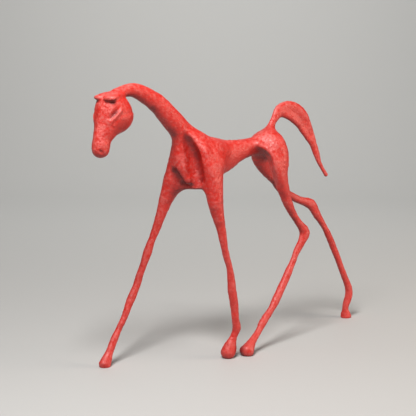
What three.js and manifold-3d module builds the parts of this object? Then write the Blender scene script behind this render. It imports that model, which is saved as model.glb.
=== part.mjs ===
// A striding long-legged horse, cast in iron as one piece and painted red.
// It stands on the flats of its four hooves. Units are millimetres, +Z is up,
// +X is the way the horse faces, +Y is its left side, and the origin is on the
// ground under the middle of its outline.
//
// The body is modelled as a sculptor does it in wax over wire: each limb is a smooth
// line with an oval section, the limbs flow into each other with a fillet, and hollows
// are pressed in afterwards. The skin of that form is then meshed, thinned out where it
// is nearly flat, and cut level under the hooves.
import * as THREE from 'three';
import { mergeVertices } from 'three/addons/utils/BufferGeometryUtils.js';
import Module from 'manifold-3d';

const height = 300;             // ground to the top of the neck's arch
const share = height / 100;     // the form below is in hundredths of the height

const cell = 0.6 * share;       // size of the grid that the skin is meshed on
const faceCount = 9000;         // triangles left once the skin is thinned out
const stepsPerStation = 3;      // straight pieces between two stations of a limb

const headTurn = 15;            // degrees that the head is turned to the horse's left
const pollX = 55;               // the upright line in the middle plane that it turns about
const headReach = 12;           // how far the head hangs past the neck's last station

// Each limb is [fillet, stations]. The fillet is how far it reaches to flow into what
// is already there. A station is where the limb's middle is, then half its width across
// the horse and half its depth in the limb's own plane.
const body = {
  barrel: [4.2, [
    [27.5, 0.0, 75.2, 3.4, 5.2],
    [24.0, 0.0, 73.4, 4.0, 7.0],
    [19.0, 0.0, 72.7, 3.9, 7.2],
    [13.5, 0.0, 73.2, 3.8, 6.2],
    [8.0, 0.0, 74.5, 3.5, 4.6],
    [2.0, 0.0, 75.7, 3.2, 3.5],
    [-4.0, 0.0, 76.7, 3.4, 3.4],
    [-9.0, 0.0, 77.0, 3.8, 4.2],
  ]],
  neck: [4.2, [
    [59.5, 0.0, 97.0, 2.0, 1.8],
    [53.5, 0.0, 98.1, 2.2, 2.4],
    [50.0, 0.0, 97.3, 2.5, 2.8],
    [43.0, 0.0, 93.4, 3.0, 3.4],
    [36.2, 0.0, 87.1, 3.6, 3.9],
    [30.3, 0.0, 81.0, 3.5, 4.2],
  ]],
  chest: [3.6, [
    [26.5, 0.0, 77.0, 3.4, 3.8],
    [26.6, -0.2, 72.0, 4.8, 3.6],
    [27.5, -1.2, 65.2, 6.4, 3.0],
  ]],
  keel: [3.0, [
    [31.0, 0.2, 80.0, 2.4, 2.6],
    [31.4, 0.5, 74.0, 2.4, 2.8],
    [31.2, 1.0, 70.0, 2.4, 2.7],
    [30.2, 1.8, 66.8, 2.0, 2.2],
  ]],
  frontRightLeg: [6.0, [
    [28.6, -1.8, 78.4, 3.0, 3.4],
    [29.4, -3.1, 75.6, 3.2, 3.6],
    [30.2, -4.9, 71.3, 3.3, 3.7],
    [30.7, -6.7, 66.5, 3.4, 3.7],
    [31.3, -8.1, 62.0, 3.3, 3.4],
    [32.6, -9.8, 57.0, 2.4, 2.6],
    [34.0, -11.0, 51.3, 1.9, 2.0],
    [35.4, -11.7, 47.0, 1.5, 1.7],
    [37.2, -12.1, 42.7, 1.4, 1.5],
    [39.1, -12.2, 38.2, 1.6, 1.7],
    [40.6, -12.2, 34.5, 1.4, 1.4],
    [42.4, -12.3, 30.3, 1.4, 1.4],
    [44.4, -12.2, 25.6, 1.5, 1.5],
    [47.0, -11.9, 21.3, 1.5, 1.6],
    [49.8, -11.3, 16.3, 1.3, 1.3],
    [53.0, -10.7, 11.6, 1.3, 1.3],
    [55.4, -10.1, 8.2, 1.4, 1.5],
    [57.2, -9.6, 5.0, 1.4, 1.5],
    [58.8, -9.1, 2.6, 1.8, 1.9],
    [59.9, -8.8, 0.9, 2.1, 2.3],
  ]],
  frontLeftLeg: [4.2, [
    [27.4, 2.2, 78.6, 3.2, 3.6],
    [25.8, 4.4, 75.6, 3.7, 3.9],
    [24.7, 6.4, 71.0, 3.7, 4.0],
    [24.1, 7.8, 66.0, 3.3, 3.6],
    [23.9, 8.4, 60.3, 3.1, 3.2],
    [23.2, 8.8, 55.0, 2.5, 2.5],
    [21.7, 9.0, 49.3, 1.9, 1.9],
    [20.4, 9.0, 43.7, 1.5, 1.5],
    [19.0, 9.0, 38.0, 1.3, 1.3],
    [17.7, 9.0, 34.3, 1.2, 1.2],
    [17.0, 9.0, 30.7, 1.4, 1.4],
    [16.3, 9.0, 25.0, 1.7, 1.7],
    [15.4, 9.1, 19.4, 1.6, 1.6],
    [15.0, 9.3, 14.3, 1.4, 1.4],
    [14.4, 9.3, 10.7, 1.6, 1.6],
    [15.6, 9.0, 7.6, 1.3, 1.4],
    [17.0, 8.7, 4.3, 2.2, 2.3],
    [17.8, 8.6, 2.1, 2.8, 2.8],
  ]],
  shoulderBlade: [6.0, [
    [19.8, 2.8, 75.4, 3.0, 3.6],
    [21.4, 4.4, 71.8, 3.2, 3.8],
  ]],
  shoulderRidge: [2.4, [
    [31.2, 2.8, 82.0, 0.8, 0.8],
    [28.8, 5.2, 79.0, 1.3, 1.3],
    [27.5, 7.5, 76.0, 1.5, 1.5],
    [27.0, 8.9, 72.0, 1.4, 1.4],
    [26.2, 9.8, 67.5, 1.2, 1.2],
    [25.7, 10.1, 62.5, 1.0, 1.0],
    [24.5, 9.9, 56.5, 0.8, 0.8],
    [22.8, 9.4, 51.5, 0.6, 0.6],
  ]],
  hindLeftLeg: [4.2, [
    [-6.5, 2.2, 78.2, 3.5, 3.8],
    [-7.6, 4.4, 75.8, 4.2, 4.4],
    [-8.2, 5.8, 71.0, 3.8, 4.2],
    [-8.4, 6.3, 66.0, 3.0, 3.2],
    [-9.9, 6.4, 60.7, 2.3, 2.6],
    [-12.9, 5.8, 54.5, 1.8, 2.0],
    [-16.4, 5.0, 49.7, 1.5, 1.6],
    [-19.7, 4.7, 45.7, 1.4, 1.5],
    [-23.1, 4.4, 41.6, 1.8, 2.2],
    [-21.3, 4.4, 38.0, 1.5, 1.7],
    [-18.8, 4.4, 34.3, 1.3, 1.4],
    [-16.4, 4.7, 30.2, 1.3, 1.3],
    [-13.6, 5.0, 26.0, 1.6, 1.7],
    [-10.7, 5.4, 21.9, 1.6, 1.6],
    [-7.6, 6.0, 18.0, 1.6, 1.7],
    [-4.0, 6.7, 14.0, 1.3, 1.4],
    [0.4, 7.4, 10.2, 1.5, 1.7],
    [2.9, 8.2, 7.6, 1.2, 1.3],
    [7.1, 9.5, 4.5, 1.6, 1.7],
    [10.2, 10.4, 1.8, 2.6, 2.7],
  ]],
  thighRidge: [2.0, [
    [-0.4, 3.2, 77.0, 0.8, 0.8],
    [-3.9, 6.7, 73.6, 1.3, 1.3],
    [-4.9, 8.0, 69.8, 1.2, 1.2],
    [-7.5, 7.9, 63.4, 0.9, 0.9],
    [-10.6, 6.8, 58.5, 0.6, 0.6],
  ]],
  hindRightLeg: [4.2, [
    [-7.2, -2.6, 77.0, 3.4, 3.8],
    [-8.4, -4.8, 72.0, 3.0, 4.2],
    [-12.3, -6.6, 66.8, 2.3, 3.0],
    [-17.8, -7.9, 61.6, 1.8, 1.9],
    [-22.5, -8.4, 56.9, 1.6, 1.8],
    [-32.0, -8.7, 52.2, 1.5, 1.6],
    [-38.4, -9.0, 50.0, 1.6, 2.2],
    [-41.9, -9.0, 45.3, 1.5, 1.7],
    [-45.6, -9.0, 40.7, 1.2, 1.3],
    [-48.9, -9.0, 35.4, 1.4, 1.4],
    [-52.2, -9.0, 29.3, 1.4, 1.5],
    [-55.4, -9.0, 23.0, 1.3, 1.3],
    [-58.5, -9.0, 16.7, 1.4, 1.4],
    [-60.9, -9.0, 11.5, 1.6, 1.6],
    [-60.4, -9.0, 8.0, 1.6, 1.7],
    [-59.0, -9.0, 4.7, 1.4, 1.5],
    [-59.0, -9.0, 2.6, 1.6, 1.7],
    [-59.3, -9.0, 0.8, 2.3, 2.4],
  ]],
  tail: [2.4, [
    [-7.8, 0.0, 79.0, 1.6, 2.0],
    [-9.0, 0.0, 82.5, 1.3, 1.5],
    [-11.0, 0.0, 86.0, 1.2, 1.7],
    [-13.5, 0.0, 88.7, 1.3, 2.6],
    [-17.3, 0.0, 89.0, 1.6, 3.5],
    [-20.7, 0.0, 88.0, 1.8, 3.9],
    [-23.8, 0.0, 85.9, 1.8, 3.8],
    [-26.2, 0.0, 82.8, 1.7, 3.3],
    [-28.4, 0.0, 79.4, 1.5, 2.6],
    [-30.6, 0.0, 75.9, 1.3, 1.8],
    [-32.4, 0.0, 72.0, 1.2, 1.5],
    [-34.2, 0.0, 68.0, 0.9, 1.0],
    [-36.3, 0.0, 65.0, 0.8, 0.9],
    [-38.0, 0.0, 62.8, 0.9, 0.9],
  ]],
};

// What is pressed into the body: a hollow on each side of the keel, one in front of the
// left thigh, and the dished left side of the tail.
const bodyHollows = {
  chestHollowLeft: [2.6, [
    [32.4, 4.8, 79.2, 0.8, 0.8],
    [31.0, 5.0, 74.0, 1.6, 1.6],
    [30.2, 5.2, 69.5, 1.7, 1.7],
    [29.8, 5.2, 65.5, 1.2, 1.2],
  ]],
  chestHollowRight: [3.2, [
    [33.2, -2.2, 67.6, 0.8, 0.8],
    [32.4, -1.7, 65.8, 1.0, 1.0],
    [31.4, -1.0, 64.0, 0.7, 0.7],
  ]],
  flankHollow: [2.4, [
    [1.5, 4.6, 74.2, 1.2, 1.2],
    [-2.2, 5.0, 71.5, 1.7, 1.7],
    [-3.2, 5.4, 67.0, 1.5, 1.5],
    [-5.2, 5.8, 62.0, 0.9, 0.9],
  ]],
  tailDish: [1.4, [
    [-15.5, 2.9, 89.2, 1.2, 1.2],
    [-20.6, 3.3, 87.6, 2.1, 2.1],
    [-25.2, 3.1, 83.4, 2.0, 2.0],
    [-28.4, 2.7, 78.8, 1.4, 1.4],
  ]],
};

// The head, as it hangs before it is turned. Its stations are counted forward from the
// poll's upright line, so the first number is 0 over that line. A feature in a pair is
// given for the left side.
const head = {
  skull: [2.0, [
    [6.5, 0.0, 92.0, 5.4, 5.6],
    [6.2, 0.0, 89.8, 6.3, 6.6],
  ]],
  face: [2.4, [
    [9.2, 0.0, 94.0, 4.6, 3.2],
    [9.6, 0.0, 90.0, 4.9, 3.8],
    [10.4, 0.0, 86.0, 4.3, 4.0],
    [12.3, 0.0, 82.6, 3.2, 3.3],
    [13.1, 0.0, 80.2, 3.2, 3.2],
    [13.3, 0.0, 79.0, 3.1, 3.1],
  ]],
  forelockLeft: [0.8, [
    [4.0, 0.8, 96.4, 1.6, 1.3],
    [8.0, 2.2, 96.5, 2.0, 1.1],
    [11.7, 2.9, 95.6, 2.2, 1.0],
  ]],
  forelockRight: [0.8, [
    [4.0, -0.8, 96.4, 1.6, 1.3],
    [8.0, -2.0, 96.6, 1.9, 1.1],
    [11.8, -2.4, 95.9, 1.7, 0.9],
  ]],
  noseBridge: [1.2, [
    [12.2, 0.0, 92.0, 0.8, 0.9],
    [13.2, 0.0, 87.0, 0.7, 0.8],
    [14.6, 0.0, 82.6, 0.8, 0.9],
  ]],
};
const headPairs = {
  eyelid: [0.8, [
    [12.3, 3.4, 88.2, 0.4, 0.4],
    [11.3, 4.6, 90.2, 0.7, 0.7],
    [9.9, 5.4, 92.0, 0.4, 0.4],
  ]],
};
const headHollowPairs = {
  browGroove: [0.8, [
    [13.0, 3.6, 89.8, 0.5, 0.5],
    [11.8, 5.2, 91.8, 0.9, 0.9],
    [10.2, 6.2, 93.4, 0.5, 0.5],
  ]],
  cheekGroove: [0.8, [
    [12.0, 5.2, 87.6, 0.5, 0.5],
    [10.8, 6.5, 89.4, 0.8, 0.8],
    [9.2, 7.2, 91.0, 0.5, 0.5],
  ]],
  nostril: [0.6, [
    [15.8, 1.9, 78.6, 0.6, 0.6],
    [15.4, 2.7, 77.4, 0.5, 0.5],
  ]],
};

// The limb's line as short straight pieces, each with its own axes and half sizes, and
// the box that holds them all.
function traced([fillet, stations]) {
  const sideways = 0.9;           // a piece this steep across the horse takes its side from +X
  const spots = stations.map(([x, y, z]) => new THREE.Vector3(x, y, z).multiplyScalar(share));
  const halves = stations.map((s) => new THREE.Vector3(s[3], s[4], 0).multiplyScalar(share));
  const count = (stations.length - 1) * stepsPerStation;
  const points = new THREE.CatmullRomCurve3(spots, false, 'centripetal').getPoints(count);
  const sizes = new THREE.CatmullRomCurve3(halves, false, 'catmullrom', 0.5).getPoints(count);
  const pieces = sizes.slice(1).map((to, i) => {
    const along = points[i + 1].clone().sub(points[i]);
    const length = along.length();
    along.divideScalar(length);
    const side = new THREE.Vector3(0, 1, 0);
    if (Math.abs(along.y) > sideways) side.set(1, 0, 0);
    const across = side.addScaledVector(along, -along.dot(side)).normalize();
    return { start: points[i], along, across, deep: along.clone().cross(across), length, from: sizes[i], to };
  });
  const widest = Math.max(...halves.map((h) => Math.max(h.x, h.y)));
  const box = new THREE.Box3().setFromPoints(points).expandByScalar(widest);
  return { pieces, box, fillet: fillet * share };
}

// Distance from a point to one straight piece of a limb, negative inside it.
function pieceDistance({ start, along, across, deep, length, from, to }, point) {
  const x = point.x - start.x;
  const y = point.y - start.y;
  const z = point.z - start.z;
  const run = x * along.x + y * along.y + z * along.z;
  const kept = Math.min(Math.max(run, 0), length);
  const blend = kept / length;
  const wide = from.x + (to.x - from.x) * blend;
  const thick = from.y + (to.y - from.y) * blend;
  const end = Math.min(wide, thick);
  const a = (x * across.x + y * across.y + z * across.z) / wide;
  const d = (x * deep.x + y * deep.y + z * deep.z) / thick;
  const e = (run - kept) / end;
  const outward = Math.sqrt(a * a + d * d + e * e);
  const slope = Math.hypot(a / wide, d / thick, e / end);
  return slope > 0 ? outward * (outward - 1) / slope : -end;
}

function limbDistance({ pieces }, point) {
  let nearest = Infinity;
  for (const piece of pieces) nearest = Math.min(nearest, pieceDistance(piece, point));
  return nearest;
}

// The lower of two distances, rounded off where they are alike.
function flowTogether(a, b, fillet) {
  const near = Math.max(fillet - Math.abs(a - b), 0) / fillet;
  return Math.min(a, b) - near * near * fillet / 4;
}

const mirrored = ([fillet, stations]) => [fillet, stations.map(([x, y, ...rest]) => [x, -y, ...rest])];
const paired = (limbs) => Object.values(limbs).flatMap((limb) => [limb, mirrored(limb)]);
const bodyLimbs = Object.values(body).map(traced);
const bodyPresses = Object.values(bodyHollows).map(traced);
const headLimbs = [...Object.values(head), ...paired(headPairs)].map(traced);
const headPresses = paired(headHollowPairs).map(traced);
const turn = THREE.MathUtils.degToRad(headTurn);
const upright = new THREE.Vector3(0, 0, 1);

// Distance from a point to the whole form, negative inside it.
function formDistance(x, y, z) {
  const point = new THREE.Vector3(x, y, z);
  const turned = new THREE.Vector3(x - pollX * share, y, z).applyAxisAngle(upright, -turn);
  let near = Infinity;
  const add = (limb, spot) => {
    if (limb.box.distanceToPoint(spot) > near + limb.fillet) return;
    near = flowTogether(near, limbDistance(limb, spot), limb.fillet);
  };
  const press = (limb, spot) => {
    if (limb.box.distanceToPoint(spot) > limb.fillet - near) return;
    near = -flowTogether(-near, limbDistance(limb, spot), limb.fillet);
  };
  for (const limb of bodyLimbs) add(limb, point);
  for (const limb of headLimbs) add(limb, turned);
  for (const limb of bodyPresses) press(limb, point);
  for (const limb of headPresses) press(limb, turned);
  return near;
}

// Meshes the form: one vertex in each grid cell that its surface passes through, and one
// square around each grid edge that its surface crosses.
function skinOf(box) {
  const block = 4;                // cells to a side of the blocks that are looked at first
  const clearance = 1.2;          // a block is clear of the surface this many sides away
  const low = box.min;
  const size = box.getSize(new THREE.Vector3()).divideScalar(cell * block).ceil()
    .multiplyScalar(block).addScalar(1).toArray();
  const at = (i, j, k) => (k * size[1] + j) * size[0] + i;
  const values = new Float32Array(size[0] * size[1] * size[2]).fill(cell);
  const value = (i, j, k) => formDistance(low.x + i * cell, low.y + j * cell, low.z + k * cell);
  for (let k = 0; k < size[2] - 1; k += block)
    for (let j = 0; j < size[1] - 1; j += block)
      for (let i = 0; i < size[0] - 1; i += block) {
        const middle = value(i + block / 2, j + block / 2, k + block / 2);
        const clear = Math.abs(middle) > clearance * block * cell;
        if (clear && middle > 0) continue;
        for (let n = 0; n <= block; n++)
          for (let m = 0; m <= block; m++)
            for (let l = 0; l <= block; l++)
              values[at(i + l, j + m, k + n)] = clear ? -cell : value(i + l, j + m, k + n);
      }

  // Where the corners of a cell's side are in and out by turns, the skin would touch
  // itself, so the outer corner that is nearest to the surface is taken in.
  const rows = size[0];
  const layers = size[0] * size[1];
  for (let mended = true; mended;) {
    mended = false;
    for (let n = 0; n < values.length - layers - rows; n++)
      for (const [u, v] of [[1, rows], [rows, layers], [layers, 1]]) {
        const inside = values[n] <= 0;
        if (inside !== values[n + u + v] <= 0) continue;
        if (inside === values[n + u] <= 0 || inside === values[n + v] <= 0) continue;
        const outer = inside ? [n + u, n + v] : [n, n + u + v];
        values[values[outer[0]] < values[outer[1]] ? outer[0] : outer[1]] = 0;
        mended = true;
      }
  }

  const corners = [[0, 0, 0], [1, 0, 0], [0, 1, 0], [1, 1, 0], [0, 0, 1], [1, 0, 1], [0, 1, 1], [1, 1, 1]];
  const edges = [0, 2, 4, 6].map((c) => [c, c + 1])
    .concat([0, 1, 4, 5].map((c) => [c, c + 2]), [0, 1, 2, 3].map((c) => [c, c + 4]));
  const spots = corners.map((corner) => new THREE.Vector3(...corner));
  const vertexOf = new Int32Array(values.length).fill(-1);
  const vertices = [];
  for (let k = 0; k < size[2] - 1; k++)
    for (let j = 0; j < size[1] - 1; j++)
      for (let i = 0; i < size[0] - 1; i++) {
        const here = corners.map(([l, m, n]) => values[at(i + l, j + m, k + n)]);
        if (here.every((v) => v > 0) || here.every((v) => v <= 0)) continue;
        const crossed = edges.filter(([a, b]) => here[a] > 0 !== here[b] > 0);
        const middle = new THREE.Vector3();
        for (const [a, b] of crossed) {
          middle.add(spots[a].clone().lerp(spots[b], here[a] / (here[a] - here[b])));
        }
        middle.divideScalar(crossed.length).add(new THREE.Vector3(i, j, k)).multiplyScalar(cell).add(low);
        vertexOf[at(i, j, k)] = vertices.length;
        vertices.push(middle);
      }

  const faces = [];
  const axes = [[1, 0, 0], [0, 1, 0], [0, 0, 1]];
  for (let k = 1; k < size[2] - 1; k++)
    for (let j = 1; j < size[1] - 1; j++)
      for (let i = 1; i < size[0] - 1; i++)
        axes.forEach(([l, m, n], axis) => {
          const inside = values[at(i, j, k)] <= 0;
          if (inside === (values[at(i + l, j + m, k + n)] <= 0)) return;
          const u = axes[(axis + 1) % 3];
          const v = axes[(axis + 2) % 3];
          const around = [[0, 0], [1, 0], [1, 1], [0, 1]].map(([a, b]) =>
            vertexOf[at(i - a * u[0] - b * v[0], j - a * u[1] - b * v[1], k - a * u[2] - b * v[2])]);
          const [a, b, c, d] = inside ? around : around.reverse();
          if (vertices[a].distanceTo(vertices[c]) < vertices[b].distanceTo(vertices[d])) {
            faces.push([a, b, c], [a, c, d]);
          } else {
            faces.push([a, b, d], [b, c, d]);
          }
        });
  return { vertices, faces };
}

// Pulls each vertex straight onto the form's surface.
function settled({ vertices, faces }) {
  const pulls = 2;
  const step = 0.1 * cell;
  const flattest = 0.25;          // least squared slope, so that a weak slope can't fling a vertex
  for (const vertex of vertices)
    for (let pull = 0; pull < pulls; pull++) {
      const { x, y, z } = vertex;
      const off = formDistance(x, y, z);
      const slope = new THREE.Vector3(
        formDistance(x + step, y, z) - off,
        formDistance(x, y + step, z) - off,
        formDistance(x, y, z + step) - off,
      ).divideScalar(step);
      const needed = off / Math.max(slope.lengthSq(), flattest);
      const pullBack = THREE.MathUtils.clamp(needed, -cell / 2, cell / 2);
      vertex.addScaledVector(slope, -pullBack);
    }
  return { vertices, faces };
}

const normalOf = (a, b, c) => b.clone().sub(a).cross(c.clone().sub(a));

// Thins a closed skin out: the edge whose loss moves the surface least is drawn together,
// until the wanted number of faces is left. Each vertex carries the sum of the squared
// distances to the planes of the faces that it has stood for, as the ten terms of that sum.
function thinned({ vertices, faces }, wanted) {
  const termCount = 10;
  const shortFirst = 1e-3;        // how much an edge's squared length counts beside its cost
  const tries = [0, 0.25, 0.5, 0.75, 1];  // places along an edge where its two ends may meet
  const leastAlike = 0.4;         // cosine of the most that a face may turn at one loss
  const faceList = faces.map((face) => [...face]);
  const around = vertices.map(() => new Set());
  const sums = vertices.map(() => new Array(termCount).fill(0));
  faceList.forEach((face, index) => {
    const n = normalOf(...face.map((v) => vertices[v]));
    const area = n.length();
    n.normalize();
    const w = -n.dot(vertices[face[0]]);
    const plane = [n.x, n.y, n.z, w];
    const terms = plane.flatMap((p, i) => plane.slice(i).map((q) => p * q * area));
    for (const v of face) {
      around[v].add(index);
      terms.forEach((term, t) => { sums[v][t] += term; });
    }
  });

  const costOf = (q, { x, y, z }) => q[0] * x * x + q[4] * y * y + q[7] * z * z + q[9]
    + 2 * (q[1] * x * y + q[2] * x * z + q[3] * x + q[5] * y * z + q[6] * y + q[8] * z);
  const joined = (a, b) => {
    const sum = sums[a].map((term, t) => term + sums[b][t]);
    const short = shortFirst * vertices[a].distanceToSquared(vertices[b]);
    const choices = tries.map((part) => vertices[a].clone().lerp(vertices[b], part));
    const costs = choices.map((spot) => costOf(sum, spot) + short);
    const cost = Math.min(...costs);
    return { a, b, sum, cost, spot: choices[costs.indexOf(cost)], stamps: [stamp[a], stamp[b]] };
  };
  const neighbours = (v) => new Set([...around[v]].flatMap((f) => faceList[f]).filter((w) => w !== v));
  const turnsOver = (v, other, spot) => [...around[v]].some((f) => {
    if (faceList[f].includes(other)) return false;
    const before = normalOf(...faceList[f].map((w) => vertices[w]));
    const after = normalOf(...faceList[f].map((w) => (w === v ? spot : vertices[w])));
    return before.dot(after) < leastAlike * before.length() * after.length();
  });

  const stamp = new Int32Array(vertices.length);
  const queue = [];
  const swap = (i, j) => { [queue[i], queue[j]] = [queue[j], queue[i]]; };
  const offer = (choice) => {
    let i = queue.push(choice) - 1;
    while (i > 0 && queue[(i - 1) >> 1].cost > queue[i].cost) {
      swap(i, (i - 1) >> 1);
      i = (i - 1) >> 1;
    }
  };
  const take = () => {
    swap(0, queue.length - 1);
    const best = queue.pop();
    for (let i = 0; ;) {
      let low = i;
      for (const child of [2 * i + 1, 2 * i + 2])
        if (child < queue.length && queue[child].cost < queue[low].cost) low = child;
      if (low === i) return best;
      swap(i, low);
      i = low;
    }
  };

  vertices.forEach((_, v) => {
    for (const w of neighbours(v)) if (v < w) offer(joined(v, w));
  });
  let left = faceList.length;
  while (left > wanted && queue.length) {
    const { a, b, sum, spot, stamps } = take();
    if (stamps[0] !== stamp[a] || stamps[1] !== stamp[b]) continue;
    const nearB = neighbours(b);
    const shared = [...neighbours(a)].filter((v) => nearB.has(v));
    if (shared.length !== 2 || turnsOver(a, b, spot) || turnsOver(b, a, spot)) continue;
    for (const f of [...around[b]]) {
      if (faceList[f].includes(a)) {
        for (const v of faceList[f]) around[v].delete(f);
        faceList[f] = null;
        left--;
      } else {
        faceList[f] = faceList[f].map((v) => (v === b ? a : v));
        around[a].add(f);
      }
    }
    around[b].clear();
    vertices[a] = spot;
    sums[a] = sum;
    stamp[a]++;
    stamp[b]++;
    for (const v of neighbours(a)) offer(joined(a, v));
  }
  return { vertices, faces: faceList.filter((face) => face) };
}

// A closed solid from any geometry that has only positions.
const wasm = await Module();
wasm.setup();
function solidOf(geometry) {
  geometry.deleteAttribute('normal');
  geometry.deleteAttribute('uv');
  const { attributes, index } = mergeVertices(geometry);
  return new wasm.Manifold(new wasm.Mesh({
    numProp: 3,
    vertProperties: new Float32Array(attributes.position.array),
    triVerts: new Uint32Array(index.array),
  }));
}

function geometryOf({ vertices, faces }) {
  const geometry = new THREE.BufferGeometry().setFromPoints(vertices);
  return geometry.setIndex(faces.flat());
}

const reach = new THREE.Box3();
for (const limb of bodyLimbs) reach.union(limb.box);
reach.max.x += headReach * share;
reach.expandByScalar(2 * cell);

const skin = thinned(settled(skinOf(reach)), faceCount);
const below = new THREE.BoxGeometry(2 * height, height, height).translate(0, 0, -height / 2);
const cut = solidOf(geometryOf(skin)).subtract(solidOf(below)).getMesh();
const standing = new THREE.BufferGeometry();
standing.setAttribute('position', new THREE.BufferAttribute(cut.vertProperties, 3));
standing.setIndex(new THREE.BufferAttribute(cut.triVerts, 1));
standing.computeBoundingBox();
const middle = standing.boundingBox.getCenter(new THREE.Vector3());
standing.translate(-middle.x, -middle.y, 0);

const redPaint = new THREE.MeshStandardMaterial({ color: 0xc42a26, roughness: 0.45, metalness: 0.1 });
const horse = new THREE.Mesh(standing, redPaint);
horse.name = 'horse';
const statue = new THREE.Group();
statue.add(horse);

export default statue;
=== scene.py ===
# Cast iron striding foal, painted red, on a plain pale studio floor.
# Metres, +X is the way the horse faces, +Y its left side, +Z up.
import bmesh
import bpy
import numpy as np
from math import radians
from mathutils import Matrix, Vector


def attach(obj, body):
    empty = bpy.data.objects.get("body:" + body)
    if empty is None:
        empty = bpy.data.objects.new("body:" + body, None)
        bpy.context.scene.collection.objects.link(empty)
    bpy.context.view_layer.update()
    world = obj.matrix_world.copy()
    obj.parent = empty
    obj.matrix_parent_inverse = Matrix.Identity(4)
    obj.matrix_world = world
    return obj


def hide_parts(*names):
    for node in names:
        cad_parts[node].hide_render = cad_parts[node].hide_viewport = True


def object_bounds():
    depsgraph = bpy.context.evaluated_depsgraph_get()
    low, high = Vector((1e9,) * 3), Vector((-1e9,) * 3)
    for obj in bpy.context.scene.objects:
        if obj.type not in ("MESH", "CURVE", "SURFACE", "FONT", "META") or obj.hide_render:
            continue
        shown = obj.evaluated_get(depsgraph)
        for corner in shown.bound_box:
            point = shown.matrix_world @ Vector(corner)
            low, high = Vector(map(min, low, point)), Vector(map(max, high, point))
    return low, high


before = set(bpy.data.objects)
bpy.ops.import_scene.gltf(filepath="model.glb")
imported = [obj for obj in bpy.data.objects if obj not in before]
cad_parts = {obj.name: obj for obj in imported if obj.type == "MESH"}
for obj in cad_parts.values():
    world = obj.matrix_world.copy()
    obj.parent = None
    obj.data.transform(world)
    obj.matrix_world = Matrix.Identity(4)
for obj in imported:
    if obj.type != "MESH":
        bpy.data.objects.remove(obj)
cadLow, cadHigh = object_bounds()
scene = bpy.context.scene


# Camera, at the photograph's place
cameraLook = {
    "place": (0.7538, 0.9309, 0.334),
    "heading": (-0.6046, -0.7966),  # level direction that it looks in
    "down": 8.32,                   # degrees below level
    "focalPixels": 1080,
    "imagePixels": 416,
    "sensor": 36.0,
    "nudgePixels": 0.5,
}


def makeCamera(look):
    data = bpy.data.cameras.new("camera")
    data.sensor_width = look["sensor"]
    data.lens = look["sensor"] * look["focalPixels"] / look["imagePixels"]
    data.shift_x = -look["nudgePixels"] / look["imagePixels"]
    data.shift_y = look["nudgePixels"] / look["imagePixels"]
    camera = bpy.data.objects.new("camera", data)
    down = radians(look["down"])
    level = np.array(look["heading"]) * np.cos(down)
    aim = Vector((level[0], level[1], -np.sin(down)))
    camera.location = look["place"]
    camera.rotation_euler = aim.to_track_quat("-Z", "Y").to_euler()
    scene.collection.objects.link(camera)
    scene.camera = camera


makeCamera(cameraLook)
print("camera placed")


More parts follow.
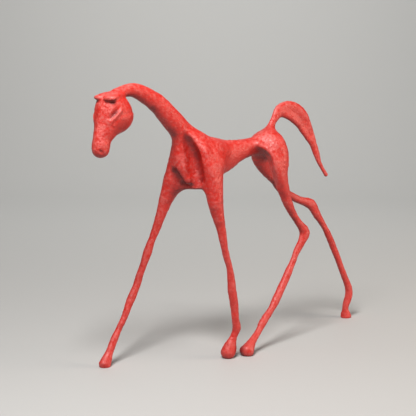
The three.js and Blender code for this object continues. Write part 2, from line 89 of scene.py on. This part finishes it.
# The horse's form. Each limb is (fillet, stations) and a station is where its middle is,
# then half its width across the horse and half its depth, all in hundredths of the height.
horse = {
    "height": 0.3,
    "stepsPerStation": 3,
    "headTurn": 15,       # degrees that the head is turned to its left
    "pollX": 55,          # upright line in the middle plane that it turns about
    "faraway": 1.0,       # distance where no limb reaches
    "middle": (0.012575, -0.001206, 0),  # of the form's plan, which the frame has at 0, 0
}
body = {
    "barrel": (4.2, [
        (27.5, 0, 75.2, 3.4, 5.2), (24, 0, 73.4, 4, 7), (19, 0, 72.7, 3.9, 7.2),
        (13.5, 0, 73.2, 3.8, 6.2), (8, 0, 74.5, 3.5, 4.6), (2, 0, 75.7, 3.2, 3.5),
        (-4, 0, 76.7, 3.4, 3.4), (-9, 0, 77, 3.8, 4.2)]),
    "neck": (4.2, [
        (59.5, 0, 97, 2, 1.8), (53.5, 0, 98.1, 2.2, 2.4), (50, 0, 97.3, 2.5, 2.8),
        (43, 0, 93.4, 3, 3.4), (36.2, 0, 87.1, 3.6, 3.9), (30.3, 0, 81, 3.5, 4.2)]),
    "chest": (3.6, [
        (26.5, 0, 77, 3.4, 3.8), (26.6, -0.2, 72, 4.8, 3.6), (27.5, -1.2, 65.2, 6.4, 3)]),
    "keel": (3.0, [
        (31, 0.2, 80, 2.4, 2.6), (31.4, 0.5, 74, 2.4, 2.8), (31.2, 1, 70, 2.4, 2.7),
        (30.2, 1.8, 66.8, 2, 2.2)]),
    "frontRightLeg": (6.0, [
        (28.6, -1.8, 78.4, 3, 3.4), (29.4, -3.1, 75.6, 3.2, 3.6), (30.2, -4.9, 71.3, 3.3, 3.7),
        (30.7, -6.7, 66.5, 3.4, 3.7), (31.3, -8.1, 62, 3.3, 3.4), (32.6, -9.8, 57, 2.4, 2.6),
        (34, -11, 51.3, 1.9, 2), (35.4, -11.7, 47, 1.5, 1.7), (37.2, -12.1, 42.7, 1.4, 1.5),
        (39.1, -12.2, 38.2, 1.6, 1.7), (40.6, -12.2, 34.5, 1.4, 1.4),
        (42.4, -12.3, 30.3, 1.4, 1.4), (44.4, -12.2, 25.6, 1.5, 1.5),
        (47, -11.9, 21.3, 1.5, 1.6), (49.8, -11.3, 16.3, 1.3, 1.3), (53, -10.7, 11.6, 1.3, 1.3),
        (55.4, -10.1, 8.2, 1.4, 1.5), (57.2, -9.6, 5, 1.4, 1.5), (58.8, -9.1, 2.6, 1.8, 1.9),
        (59.9, -8.8, 0.9, 2.1, 2.3)]),
    "frontLeftLeg": (4.2, [
        (27.4, 2.2, 78.6, 3.2, 3.6), (25.8, 4.4, 75.6, 3.7, 3.9), (24.7, 6.4, 71, 3.7, 4),
        (24.1, 7.8, 66, 3.3, 3.6), (23.9, 8.4, 60.3, 3.1, 3.2), (23.2, 8.8, 55, 2.5, 2.5),
        (21.7, 9, 49.3, 1.9, 1.9), (20.4, 9, 43.7, 1.5, 1.5), (19, 9, 38, 1.3, 1.3),
        (17.7, 9, 34.3, 1.2, 1.2), (17, 9, 30.7, 1.4, 1.4), (16.3, 9, 25, 1.7, 1.7),
        (15.4, 9.1, 19.4, 1.6, 1.6), (15, 9.3, 14.3, 1.4, 1.4), (14.4, 9.3, 10.7, 1.6, 1.6),
        (15.6, 9, 7.6, 1.3, 1.4), (17, 8.7, 4.3, 2.2, 2.3), (17.8, 8.6, 2.1, 2.8, 2.8)]),
    "shoulderBlade": (6.0, [(19.8, 2.8, 75.4, 3, 3.6), (21.4, 4.4, 71.8, 3.2, 3.8)]),
    "shoulderRidge": (2.4, [
        (31.2, 2.8, 82, 0.8, 0.8), (28.8, 5.2, 79, 1.3, 1.3), (27.5, 7.5, 76, 1.5, 1.5),
        (27, 8.9, 72, 1.4, 1.4), (26.2, 9.8, 67.5, 1.2, 1.2), (25.7, 10.1, 62.5, 1, 1),
        (24.5, 9.9, 56.5, 0.8, 0.8), (22.8, 9.4, 51.5, 0.6, 0.6)]),
    "hindLeftLeg": (4.2, [
        (-6.5, 2.2, 78.2, 3.5, 3.8), (-7.6, 4.4, 75.8, 4.2, 4.4), (-8.2, 5.8, 71, 3.8, 4.2),
        (-8.4, 6.3, 66, 3, 3.2), (-9.9, 6.4, 60.7, 2.3, 2.6), (-12.9, 5.8, 54.5, 1.8, 2),
        (-16.4, 5, 49.7, 1.5, 1.6), (-19.7, 4.7, 45.7, 1.4, 1.5), (-23.1, 4.4, 41.6, 1.8, 2.2),
        (-21.3, 4.4, 38, 1.5, 1.7), (-18.8, 4.4, 34.3, 1.3, 1.4), (-16.4, 4.7, 30.2, 1.3, 1.3),
        (-13.6, 5, 26, 1.6, 1.7), (-10.7, 5.4, 21.9, 1.6, 1.6), (-7.6, 6, 18, 1.6, 1.7),
        (-4, 6.7, 14, 1.3, 1.4), (0.4, 7.4, 10.2, 1.5, 1.7), (2.9, 8.2, 7.6, 1.2, 1.3),
        (7.1, 9.5, 4.5, 1.6, 1.7), (10.2, 10.4, 1.8, 2.6, 2.7)]),
    "thighRidge": (2.0, [
        (-0.4, 3.2, 77, 0.8, 0.8), (-3.9, 6.7, 73.6, 1.3, 1.3), (-4.9, 8, 69.8, 1.2, 1.2),
        (-7.5, 7.9, 63.4, 0.9, 0.9), (-10.6, 6.8, 58.5, 0.6, 0.6)]),
    "hindRightLeg": (4.2, [
        (-7.2, -2.6, 77, 3.4, 3.8), (-8.4, -4.8, 72, 3, 4.2), (-12.3, -6.6, 66.8, 2.3, 3),
        (-17.8, -7.9, 61.6, 1.8, 1.9), (-22.5, -8.4, 56.9, 1.6, 1.8),
        (-32, -8.7, 52.2, 1.5, 1.6), (-38.4, -9, 50, 1.6, 2.2), (-41.9, -9, 45.3, 1.5, 1.7),
        (-45.6, -9, 40.7, 1.2, 1.3), (-48.9, -9, 35.4, 1.4, 1.4), (-52.2, -9, 29.3, 1.4, 1.5),
        (-55.4, -9, 23, 1.3, 1.3), (-58.5, -9, 16.7, 1.4, 1.4), (-60.9, -9, 11.5, 1.6, 1.6),
        (-60.4, -9, 8, 1.6, 1.7), (-59, -9, 4.7, 1.4, 1.5), (-59, -9, 2.6, 1.6, 1.7),
        (-59.3, -9, 0.8, 2.3, 2.4)]),
    "tail": (2.4, [
        (-7.8, 0, 79, 1.6, 2), (-9, 0, 82.5, 1.3, 1.5), (-11, 0, 86, 1.2, 1.7),
        (-13.5, 0, 88.7, 1.3, 2.6), (-17.3, 0, 89, 1.6, 3.5), (-20.7, 0, 88, 1.8, 3.9),
        (-23.8, 0, 85.9, 1.8, 3.8), (-26.2, 0, 82.8, 1.7, 3.3), (-28.4, 0, 79.4, 1.5, 2.6),
        (-30.6, 0, 75.9, 1.3, 1.8), (-32.4, 0, 72, 1.2, 1.5), (-34.2, 0, 68, 0.9, 1),
        (-36.3, 0, 65, 0.8, 0.9), (-38, 0, 62.8, 0.9, 0.9)]),
}
bodyHollows = {
    "chestHollowLeft": (2.6, [
        (32.4, 4.8, 79.2, 0.8, 0.8), (31, 5, 74, 1.6, 1.6), (30.2, 5.2, 69.5, 1.7, 1.7),
        (29.8, 5.2, 65.5, 1.2, 1.2)]),
    "chestHollowRight": (3.2, [
        (33.2, -2.2, 67.6, 0.8, 0.8), (32.4, -1.7, 65.8, 1, 1), (31.4, -1, 64, 0.7, 0.7)]),
    "flankHollow": (2.4, [
        (1.5, 4.6, 74.2, 1.2, 1.2), (-2.2, 5, 71.5, 1.7, 1.7), (-3.2, 5.4, 67, 1.5, 1.5),
        (-5.2, 5.8, 62, 0.9, 0.9)]),
    "tailDish": (1.4, [
        (-15.5, 2.9, 89.2, 1.2, 1.2), (-20.6, 3.3, 87.6, 2.1, 2.1), (-25.2, 3.1, 83.4, 2, 2),
        (-28.4, 2.7, 78.8, 1.4, 1.4)]),
}
# The head as it hangs before it is turned, counted forward from the poll's line.
head = {
    "skull": (2.0, [(6.5, 0, 92, 5.4, 5.6), (6.2, 0, 89.8, 6.3, 6.6)]),
    "face": (2.4, [
        (9.2, 0, 94, 4.6, 3.2), (9.6, 0, 90, 4.9, 3.8), (10.4, 0, 86, 4.3, 4),
        (12.3, 0, 82.6, 3.2, 3.3), (13.1, 0, 80.2, 3.2, 3.2), (13.3, 0, 79, 3.1, 3.1)]),
    "forelockLeft": (0.8, [
        (4, 0.8, 96.4, 1.6, 1.3), (8, 2.2, 96.5, 2, 1.1), (11.7, 2.9, 95.6, 2.2, 1)]),
    "forelockRight": (0.8, [
        (4, -0.8, 96.4, 1.6, 1.3), (8, -2, 96.6, 1.9, 1.1), (11.8, -2.4, 95.9, 1.7, 0.9)]),
    "noseBridge": (1.2, [
        (12.2, 0, 92, 0.8, 0.9), (13.2, 0, 87, 0.7, 0.8), (14.6, 0, 82.6, 0.8, 0.9)]),
}
headPairs = {  # given for the left side
    "eyelid": (0.8, [
        (11.7, 3.8, 88.2, 0.4, 0.4), (10.6, 5, 90.2, 0.6, 0.6), (9.2, 5.7, 91.8, 0.4, 0.4)]),
}
headHollowPairs = {
    "browGroove": (0.7, [
        (12.6, 3.9, 89.4, 0.5, 0.5), (11.1, 5.3, 91.6, 0.9, 0.9), (9.5, 6.4, 93.4, 0.5, 0.5)]),
    "cheekGroove": (0.7, [
        (11.5, 5.2, 87.6, 0.5, 0.5), (10.3, 6.6, 89.4, 0.9, 0.9), (8.7, 7.2, 91, 0.5, 0.5)]),
    "underEye": (0.8, [(12.2, 4.7, 86.6, 0.4, 0.4), (11.6, 5.1, 85, 0.6, 0.6)]),
    "nostril": (0.4, [
        (15.6, 1.6, 79, 0.2, 0.2), (15.2, 2.3, 78.1, 0.4, 0.4), (14.8, 2.7, 77, 0.2, 0.2)]),
    "mouth": (0.3, [
        (16, 0, 75.6, 0.3, 0.3), (15.4, 1.6, 75.7, 0.3, 0.3), (13.9, 3.1, 76.4, 0.3, 0.3)]),
}
# Knife cuts of the finished surface, the head's ones before it is turned
fineCuts = {
    "shoulderCrease": (2.2, [
        (33.2, 4.1, 81.2, 0.4, 0.4), (31.5, 4.3, 77.8, 0.8, 0.8), (29.9, 4.8, 74, 1, 1),
        (29, 5, 70.1, 0.9, 0.9), (28.7, 5.7, 66.4, 0.6, 0.6)]),
    "underKeel": (1.2, [
        (30.8, -2, 64.2, 0.4, 0.4), (30.4, 0.2, 63.3, 0.65, 0.65), (30.1, 3.2, 63.5, 0.65, 0.65),
        (28.8, 5, 64.1, 0.4, 0.4)]),
    "tailCrease": (0.9, [
        (-15, 2.1, 90.6, 0.4, 0.4), (-20.2, 2.6, 89.6, 0.6, 0.6), (-24.8, 2.5, 85.8, 0.6, 0.6),
        (-28.4, 2.1, 80.4, 0.5, 0.5), (-31, 1.8, 75.6, 0.3, 0.3)]),
}
fineHeadCuts = {
    "fringeLeft": (0.4, [
        (12.7, 0.9, 94.8, 0.3, 0.3), (12.7, 2, 94.5, 0.5, 0.5), (12.4, 3.2, 94.4, 0.45, 0.45),
        (11.5, 4.3, 94.6, 0.5, 0.5), (10.3, 5.1, 95, 0.3, 0.3)]),
    "fringeRight": (0.4, [
        (12.7, -0.9, 94.9, 0.3, 0.3), (12.6, -2.2, 94.6, 0.5, 0.5), (11.9, -3.6, 94.6, 0.5, 0.5),
        (10.9, -4.6, 94.8, 0.4, 0.4)]),
    "parting": (0.4, [
        (11.9, 0.3, 97.2, 0.3, 0.3), (12.5, 0.3, 96.2, 0.6, 0.6), (12.8, 0.2, 95, 0.5, 0.5)]),
    "nick": (0.3, [(13.1, 3.2, 96.4, 0.3, 0.3), (12.9, 3.1, 95, 0.4, 0.4)]),
}


tiny = 1e-9  # keeps a length that may be 0 from being divided by


# A smooth curve through the stations: in each span, the cubic that leaves and meets them
# with Catmull and Rom's slopes, where a span lasts as long as its length to the power given.
def smoothLine(stations, count, power):
    ends = np.vstack([2 * stations[0] - stations[1], stations, 2 * stations[-1] - stations[-2]])
    spans = np.maximum(np.linalg.norm(np.diff(ends, axis=0), axis=1), tiny) ** power
    t = np.linspace(0, len(stations) - 1, count + 1)
    k = np.minimum(t.astype(int), len(stations) - 2)
    w = (t - k)[:, None]
    p0, p1, p2, p3 = ends[k], ends[k + 1], ends[k + 2], ends[k + 3]
    d0, d1, d2 = spans[k][:, None], spans[k + 1][:, None], spans[k + 2][:, None]
    leave = ((p1 - p0) / d0 - (p2 - p0) / (d0 + d1) + (p2 - p1) / d1) * d1
    meet = ((p2 - p1) / d1 - (p3 - p1) / (d1 + d2) + (p3 - p2) / d2) * d1
    return (p1 + leave * w + (3 * (p2 - p1) - 2 * leave - meet) * w ** 2
            + (leave + meet - 2 * (p2 - p1)) * w ** 3)


def traceLimb(limb):
    fillet, stations = limb
    share = horse["height"] / 100
    stations = np.array(stations, float) * share
    count = (len(stations) - 1) * horse["stepsPerStation"]
    points = smoothLine(stations[:, :3], count, power=0.5)
    sizes = smoothLine(stations[:, 3:], count, power=0)
    along = np.diff(points, axis=0)
    length = np.linalg.norm(along, axis=1)
    along /= length[:, None]
    sideways = 0.9  # a piece that runs more across the horse than this takes X as its side
    side = np.where(np.abs(along[:, 1:2]) > sideways, [[1.0, 0, 0]], [[0, 1.0, 0]])
    across = side - along * (along * side).sum(1)[:, None]
    across /= np.linalg.norm(across, axis=1)[:, None]
    return {"points": points, "sizes": sizes, "along": along, "across": across,
            "deep": np.cross(along, across), "length": length, "fillet": fillet * share,
            "low": points.min(0) - sizes.max(), "high": points.max(0) + sizes.max()}


# Distance to a limb, negative inside: for each of its straight pieces, how far out the
# point is in an oval whose half sizes change along it, turned into a length by the slope.
def limbDistance(limb, spots):
    nearest = np.full(len(spots), np.inf)
    for i, length in enumerate(limb["length"]):
        off = spots - limb["points"][i]
        run = off @ limb["along"][i]
        kept = np.clip(run, 0, length)
        first, last = limb["sizes"][i], limb["sizes"][i + 1]
        half = first + (kept / length)[:, None] * (last - first)
        wide, thick = half.T
        end = half.min(1)
        a = (off @ limb["across"][i]) / wide
        d = (off @ limb["deep"][i]) / thick
        e = (run - kept) / end
        outward = np.sqrt(a * a + d * d + e * e) + tiny
        slope = np.sqrt((a / wide) ** 2 + (d / thick) ** 2 + (e / end) ** 2) + tiny
        nearest = np.minimum(nearest, outward * (outward - 1) / slope)
    return nearest


def flowTogether(a, b, fillet):
    near = np.maximum(fillet - np.abs(a - b), 0) / fillet
    return np.minimum(a, b) - near * near * fillet / 4


def mirrored(limb):
    return limb[0], [(x, -y, *rest) for x, y, *rest in limb[1]]


def paired(limbs):
    return [side for limb in limbs.values() for side in (limb, mirrored(limb))]


bodyLimbs = [traceLimb(limb) for limb in body.values()]
bodyPresses = [traceLimb(limb) for limb in [*bodyHollows.values(), *fineCuts.values()]]
headLimbs = [traceLimb(limb) for limb in [*head.values(), *paired(headPairs)]]
headPresses = [traceLimb(limb) for limb in [*paired(headHollowPairs), *fineHeadCuts.values()]]


def turnAbout(spots, degrees):
    turn = radians(degrees)
    turned = spots.copy()
    turned[:, 0] = spots[:, 0] * np.cos(turn) - spots[:, 1] * np.sin(turn)
    turned[:, 1] = spots[:, 0] * np.sin(turn) + spots[:, 1] * np.cos(turn)
    return turned


# Distance to the whole form: the limbs flow together, then the hollows are pressed in.
def formDistance(spots):
    poll = np.array([horse["pollX"] * horse["height"] / 100, 0, 0])
    turned = turnAbout(spots - poll, -horse["headTurn"])
    near = np.full(len(spots), horse["faraway"])
    for limbs, places, sign in ((bodyLimbs, spots, 1), (headLimbs, turned, 1),
                                (bodyPresses, spots, -1), (headPresses, turned, -1)):
        for limb in limbs:
            gap = np.maximum(np.maximum(limb["low"] - places, places - limb["high"]), 0)
            reached = np.linalg.norm(gap, axis=1) < sign * near + limb["fillet"]
            if reached.any():
                far = limbDistance(limb, places[reached])
                near[reached] = sign * flowTogether(sign * near[reached], far, limb["fillet"])
    return near


skin = {
    "voxel": 0.00115,    # mesh size
    "weld": 1e-6,        # vertices of the frame's mesh closer than this are one
    "pulls": 3,          # times it is drawn onto the form
    "longestPull": 0.002,
    "slopeStep": 0.0002,
    "leastSteep": 0.25,  # of the form's squared slope, which is about 1 but in sharp creases
    "evening": 0.6,      # share of the way to the neighbours' mean
    "pullEvenings": 2,
    "curveEvenings": 6,  # of the skin that bends are measured from
    "bendEvenings": 3,
    "nookEvenings": 8,
}


# The frame's casting as one closed skin of even squares
def evenSkin():
    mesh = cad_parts["horse"].data.copy()
    loose = bmesh.new()
    loose.from_mesh(mesh)
    bmesh.ops.remove_doubles(loose, verts=loose.verts, dist=skin["weld"])
    loose.to_mesh(mesh)
    loose.free()
    rough = bpy.data.objects.new("roughSkin", mesh)
    scene.collection.objects.link(rough)
    remesh = rough.modifiers.new("remesh", "REMESH")
    remesh.mode = "VOXEL"
    remesh.voxel_size = skin["voxel"]
    evaluated = rough.evaluated_get(bpy.context.evaluated_depsgraph_get())
    mesh = bpy.data.meshes.new_from_object(evaluated)
    bpy.data.objects.remove(rough)
    return mesh


def edgesOf(mesh):
    edges = np.empty(len(mesh.edges) * 2, np.int64)
    mesh.edges.foreach_get("vertices", edges)
    return edges.reshape(-1, 2)


# Each value moves towards the mean of its neighbours', a number of times.
def evened(values, edges, times):
    count = np.bincount(edges.ravel(), minlength=len(values))
    if values.ndim > 1:
        count = count[:, None]
    for _ in range(times):
        total = np.zeros_like(values)
        np.add.at(total, edges[:, 0], values[edges[:, 1]])
        np.add.at(total, edges[:, 1], values[edges[:, 0]])
        values = values + skin["evening"] * (total / count - values)
    return values


# Slope of the form at each spot, from its distance a small step away on each axis.
def formSlope(spots, here):
    step = skin["slopeStep"]
    return np.stack([formDistance(spots + step * axis) - here for axis in np.eye(3)], 1) / step


# Between pulls the vertices are evened over the skin, so that none bunch up in the creases.
def settle(spots, edges):
    for pull in range(skin["pulls"]):
        here = formDistance(spots)
        slope = formSlope(spots, here)
        steep = np.maximum((slope ** 2).sum(1), skin["leastSteep"])
        move = np.clip(here / steep, -skin["longestPull"], skin["longestPull"])
        spots = spots - slope * move[:, None]
        if pull < skin["pulls"] - 1:
            spots = evened(spots, edges, skin["pullEvenings"])
    return spots, slope


# The hand-worked surface
relief = {
    "lumpSize": 0.008, "lumpHeight": 0.00035,     # thumbed lumps
    "grainSize": 0.0031, "grainHeight": 0.0002,  # sand-cast skin
    "tableSize": 32,     # random numbers on each side of the grid
    "tableShift": 1000.5,  # keeps the grid's counts above 0
    "headFrom": 0.14, "headFade": 0.02, "headAbove": 0.21, "headCalm": 0.55,
    "sunk": 0.0003,      # the skin lies this far in, to stay within the frame's box
    "bendUnit": 0.0005,
    "nookReach": 0.007,
    "lumpShare": 0.6, "grainShare": 0.4,
    "sheenFrom": (0.6, 0.5, 0.62),  # the way that the faces with painted sheen face
    "seed": 5,
}


# Smooth noise: random numbers at the corners of a grid of cubes, eased from one to the next.
def lumps(spots, size, seed):
    count = relief["tableSize"]
    table = np.random.default_rng(seed).uniform(-1, 1, (count, count, count))
    grid = spots / size + relief["tableShift"]
    cell = np.floor(grid).astype(int)
    w = grid - cell
    w = w * w * (3 - 2 * w)
    total = np.zeros(len(spots))
    for corner in np.ndindex(2, 2, 2):
        share = np.prod(np.where(corner, w, 1 - w), axis=1)
        i, j, k = ((cell + corner) % count).T
        total += share * table[i, j, k]
    return total


# How far each spot stands out from its surroundings: above 0 on ridges, below 0 in hollows.
def bendOf(spots, outward, edges):
    curve = evened(spots, edges, skin["curveEvenings"])
    return evened(((spots - curve) * outward).sum(1), edges, skin["bendEvenings"])


# How closed in each spot is: what is missing from the distance a short way out from it.
def nookOf(spots, outward, edges):
    reach = relief["nookReach"]
    clear = formDistance(spots + outward * reach) / reach
    return evened(np.clip(1 - clear, 0, 1), edges, skin["nookEvenings"])


def makeHorse():
    mesh = evenSkin()
    print("skin", len(mesh.vertices), "vertices")
    edges = edgesOf(mesh)
    spots = np.empty(len(mesh.vertices) * 3)
    mesh.vertices.foreach_get("co", spots)
    spots, slope = settle(spots.reshape(-1, 3) + horse["middle"], edges)
    outward = slope / np.linalg.norm(slope, axis=1)[:, None]
    print("settled onto the form")

    lump = lumps(spots, relief["lumpSize"], relief["seed"])
    grain = lumps(spots, relief["grainSize"], relief["seed"] + 1)
    height = lump * relief["lumpHeight"] + grain * relief["grainHeight"]
    # the head is smoother than the rest
    ahead = np.clip((spots[:, 0] - relief["headFrom"]) / relief["headFade"], 0, 1)
    height *= 1 - relief["headCalm"] * ahead * (spots[:, 2] > relief["headAbove"])
    paintClues = {
        "bend": bendOf(spots, outward, edges) / relief["bendUnit"],
        "nook": nookOf(spots, outward, edges),
        "up": outward[:, 2],
        # how much each spot faces the light, for painted sheen
        "sheenFacing": outward @ relief["sheenFrom"],
        "lump": relief["lumpShare"] * lump + relief["grainShare"] * grain,
    }
    spots = spots + outward * (height - relief["sunk"])[:, None] - horse["middle"]
    spots = np.clip(spots, cadLow, cadHigh)

    mesh.vertices.foreach_set("co", spots.ravel())
    mesh.name = "horseCasting"
    for name, values in paintClues.items():
        clue = mesh.attributes.new(name, "FLOAT", "POINT")
        clue.data.foreach_set("value", values.astype(np.float32))
    mesh.shade_smooth()
    mesh.update()
    casting = bpy.data.objects.new("horseCasting", mesh)
    scene.collection.objects.link(casting)
    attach(casting, "root")
    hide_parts("horse")
    return casting


# Shader values as Python expressions
class Value:
    def __init__(self, graph, socket):
        self.graph, self.socket = graph, socket

    def math(self, operation, *others):
        return self.graph.node("ShaderNodeMath", {"operation": operation}, self, *others)

    def __add__(self, other):
        return self.math("ADD", other)

    def __mul__(self, other):
        return self.math("MULTIPLY", other)

    def __rsub__(self, other):
        return self.graph.node("ShaderNodeMath", {"operation": "SUBTRACT"}, other, self)

    __radd__ = __add__
    __rmul__ = __mul__

    def fade(self, low, high):  # 0 below low, 1 above high, eased between
        settings = {"interpolation_type": "SMOOTHSTEP", "clamp": True}
        return self.graph.node("ShaderNodeMapRange", settings, self, low, high)


class Graph:
    def __init__(self, name):
        self.material = bpy.data.materials.new(name)
        self.material.use_nodes = True
        self.tree = self.material.node_tree
        self.shader = self.tree.nodes["Principled BSDF"]

    def put(self, socket, value):
        if isinstance(value, Value):
            self.tree.links.new(value.socket, socket)
        else:
            socket.default_value = value

    def node(self, kind, settings, *inputs, output=0, **named):
        made = self.tree.nodes.new(kind)
        for key, value in settings.items():
            setattr(made, key, value)
        for socket, value in zip(made.inputs, inputs):
            self.put(socket, value)
        for name, value in named.items():
            self.put(made.inputs[name], value)
        return Value(self, made.outputs[output])

    def attribute(self, name):
        return self.node("ShaderNodeAttribute", {"attribute_name": name}, output="Fac")

    def objectSpot(self):
        return self.node("ShaderNodeTexCoord", {}, output="Object")

    def noise(self, spot, scale, detail, roughness):
        return self.node("ShaderNodeTexNoise", {}, Vector=spot, Scale=scale, Detail=detail,
                         Roughness=roughness)

    def mix(self, share, first, second):
        made = self.tree.nodes.new("ShaderNodeMix")
        made.data_type = "RGBA"
        # the sockets that a mix of colours uses, after those for numbers and directions
        for place, value in ((0, share), (6, first), (7, second)):
            self.put(made.inputs[place], value)
        return Value(self, made.outputs[2])

    def shine(self, **sockets):
        for name, value in sockets.items():
            self.put(self.shader.inputs[name.replace("_", " ")], value)


redPaint = {
    "red": (0.62, 0.016, 0.008, 1),
    "deep": (0.22, 0.005, 0.005, 1),     # painted shade in hollows, closed-in spots and underneath, and thicker paint in random patches
    "dustAndSheen": (0.74, 0.17, 0.15, 1),      # chalky dust speckle, and painted pinkish sheen where the light falls
    "iron": (0.06, 0.028, 0.022, 1),     # a few tiny chips
    "roughness": (0.30, 0.55),
    "specular": 0.6,
    "noises": {  # features to a metre, detail, roughness
        "cloud": (55.0, 4.0, 0.6),
        "blotch": (290.0, 5.0, 0.65),
        "fine": (620.0, 3.0, 0.6),
        "pits": (900.0, 1.0, 0.5),
    },
    "dents": 330.0,  # to a metre
    # each sum below is shares of clues, and its fade says where it starts and where it is full
    "dustAndSheenSum": {"cloud": 0.2, "blotch": 0.9, "lump": 0.1, "ridge": 0.1, "sheenFacing": 0.25},
    "dustAndSheenFade": (0.62, 0.94),
    "dustAndSheenMost": 0.6, "dustAndSheenLessOnShins": 0.22,
    "chipSum": {"blotch": 0.5, "fine": 0.6, "ridge": 0.08},
    "chipFade": (0.79, 0.83),
    # painted shade: darker in hollows, closed-in spots and on downward faces, darker low on the
    # legs, plus random thick paint
    "shadeAndThickSum": {"hollow": 0.7, "closed": 0.7, "under": 0.7, "thick": 0.3, "shins": 0.12},
    "shadeAndThickFade": (0.05, 1.0),
    "roughSum": {"blotchy": 0.6, "fineGrained": 0.4},
    "bumpSum": {"fine": 0.0004, "pitted": 0.0002, "blotch": 0.0004, "dents": 0.0003},  # metres
    "ridgeFade": (0.05, 0.9), "hollowFade": (-0.9, -0.05), "closedShadeFade": (0.1, 0.8),
    "underFade": (-0.9, -0.15), "thickFade": (0.3, 0.5), "roughFade": (0.35, 0.65),
    "pittedFade": (0.25, 0.42), "shinsFade": (0.1, 0.19),  # heights, full below and none above
}


def paintMaterial(look):
    graph = Graph("redPaint")
    spot = graph.objectSpot()
    clues = {name: graph.attribute(name) for name in ("bend", "nook", "up", "sheenFacing", "lump")}
    clues.update({name: graph.noise(spot, *noise) for name, noise in look["noises"].items()})
    clues["dents"] = graph.node("ShaderNodeTexVoronoi", {}, Vector=spot, Scale=look["dents"])
    tall = graph.node("ShaderNodeSeparateXYZ", {}, spot, output="Z")
    clues["shins"] = 1 - tall.fade(*look["shinsFade"])
    clues["ridge"] = clues["bend"].fade(*look["ridgeFade"])
    # painted shade in the concave creases
    clues["hollow"] = 1 - clues["bend"].fade(*look["hollowFade"])
    # painted shade in closed-in spots, between parts
    clues["closed"] = clues["nook"].fade(*look["closedShadeFade"])
    # painted shade on the faces turned downward
    clues["under"] = 1 - clues["up"].fade(*look["underFade"])
    clues["thick"] = 1 - clues["cloud"].fade(*look["thickFade"])
    clues["blotchy"] = clues["blotch"].fade(*look["roughFade"])
    clues["fineGrained"] = clues["fine"].fade(*look["roughFade"])
    clues["pitted"] = clues["pits"].fade(*look["pittedFade"])

    def total(name):
        first, *others = [clues[clue] * share for clue, share in look[name].items()]
        for other in others:
            first = first + other
        return first

    # chalky dust speckle, plus painted sheen: pinker on faces turned towards the light
    dustAndSheen = total("dustAndSheenSum").fade(*look["dustAndSheenFade"])
    share = dustAndSheen * (look["dustAndSheenMost"] - clues["shins"] * look["dustAndSheenLessOnShins"])
    colour = graph.mix(share, look["red"], look["dustAndSheen"])
    # painted shade mixed in, with some random thicker paint
    colour = graph.mix(total("shadeAndThickSum").fade(*look["shadeAndThickFade"]), colour, look["deep"])
    colour = graph.mix(total("chipSum").fade(*look["chipFade"]), colour, look["iron"])
    low, high = look["roughness"]
    rough = low + (high - low) * total("roughSum")
    bump = graph.node("ShaderNodeBump", {}, Height=total("bumpSum"), Strength=1.0, Distance=1.0)
    graph.shine(Base_Color=colour, Roughness=rough, Normal=bump,
                Specular_IOR_Level=look["specular"])
    return graph.material


casting = makeHorse()
casting.data.materials.clear()
casting.data.materials.append(paintMaterial(redPaint))
print("horse made")


# Studio: a pale floor that sweeps up behind, and soft lights
studio = {
    "floor": (0.55, 0.55, 0.54, 1),
    "floorRoughness": 0.6,
    "reach": 4.0,
    "bendFrom": 1.2,     # how far behind the horse the floor starts to rise
    "sweep": 0.9,        # radius that it rises with, in so many steps
    "sweepSteps": 24,
    "world": (0.78, 0.80, 0.82, 1),
    "worldStrength": 0.14,
    "lights": [  # place, aim, size, watts, colour
        ("keyLight", (0.5, 0.38, 1.05), (0, 0, 0.16), 0.35, 15, (1, 0.98, 0.96)),
        ("sideLight", (-0.8, 0.7, 0.35), (0, 0, 0.16), 0.5, 6, (1, 0.82, 0.68)),
        ("wallLight", (-0.55, -0.75, 1.5), (-1.4, -1.9, 0.6), 1.5, 17, (1, 1, 0.98)),
    ],
}


def makeStudio(look):
    graph = Graph("paleFloor")
    graph.shine(Base_Color=look["floor"], Roughness=look["floorRoughness"])
    # floor and wall in one: level, then a quarter round, then upright, carried sideways
    reach, start, sweep = look["reach"], look["bendFrom"], look["sweep"]
    turn = np.linspace(0, np.pi / 2, look["sweepSteps"])
    out = np.r_[-reach, sweep * np.sin(turn) + start, start + sweep]
    up = np.r_[0, sweep * (1 - np.cos(turn)), reach]
    heading = np.array(cameraLook["heading"]) / np.linalg.norm(cameraLook["heading"])
    side = np.array([-heading[1], heading[0]])
    spots = [(*(far * heading + across * side), high)
             for far, high in zip(out, up) for across in (-reach, reach)]
    faces = [[2 * i, 2 * i + 1, 2 * i + 3, 2 * i + 2] for i in range(len(up) - 1)]
    mesh = bpy.data.meshes.new("floor")
    mesh.from_pydata(spots, [], faces)
    mesh.shade_smooth()
    mesh.update()
    mesh.materials.append(graph.material)
    floor = bpy.data.objects.new("floor", mesh)
    scene.collection.objects.link(floor)
    for name, place, aim, size, watts, colour in look["lights"]:
        light = bpy.data.lights.new(name, "AREA")
        light.size, light.energy, light.color = size, watts, colour
        lamp = bpy.data.objects.new(name, light)
        lamp.location = place
        lamp.rotation_euler = (Vector(aim) - Vector(place)).to_track_quat("-Z", "Y").to_euler()
        scene.collection.objects.link(lamp)
    world = bpy.data.worlds.new("studio")
    world.use_nodes = True
    background = world.node_tree.nodes["Background"]
    background.inputs["Color"].default_value = look["world"]
    background.inputs["Strength"].default_value = look["worldStrength"]
    scene.world = world
    scene.view_settings.view_transform = "Standard"


makeStudio(studio)
print("studio lit")
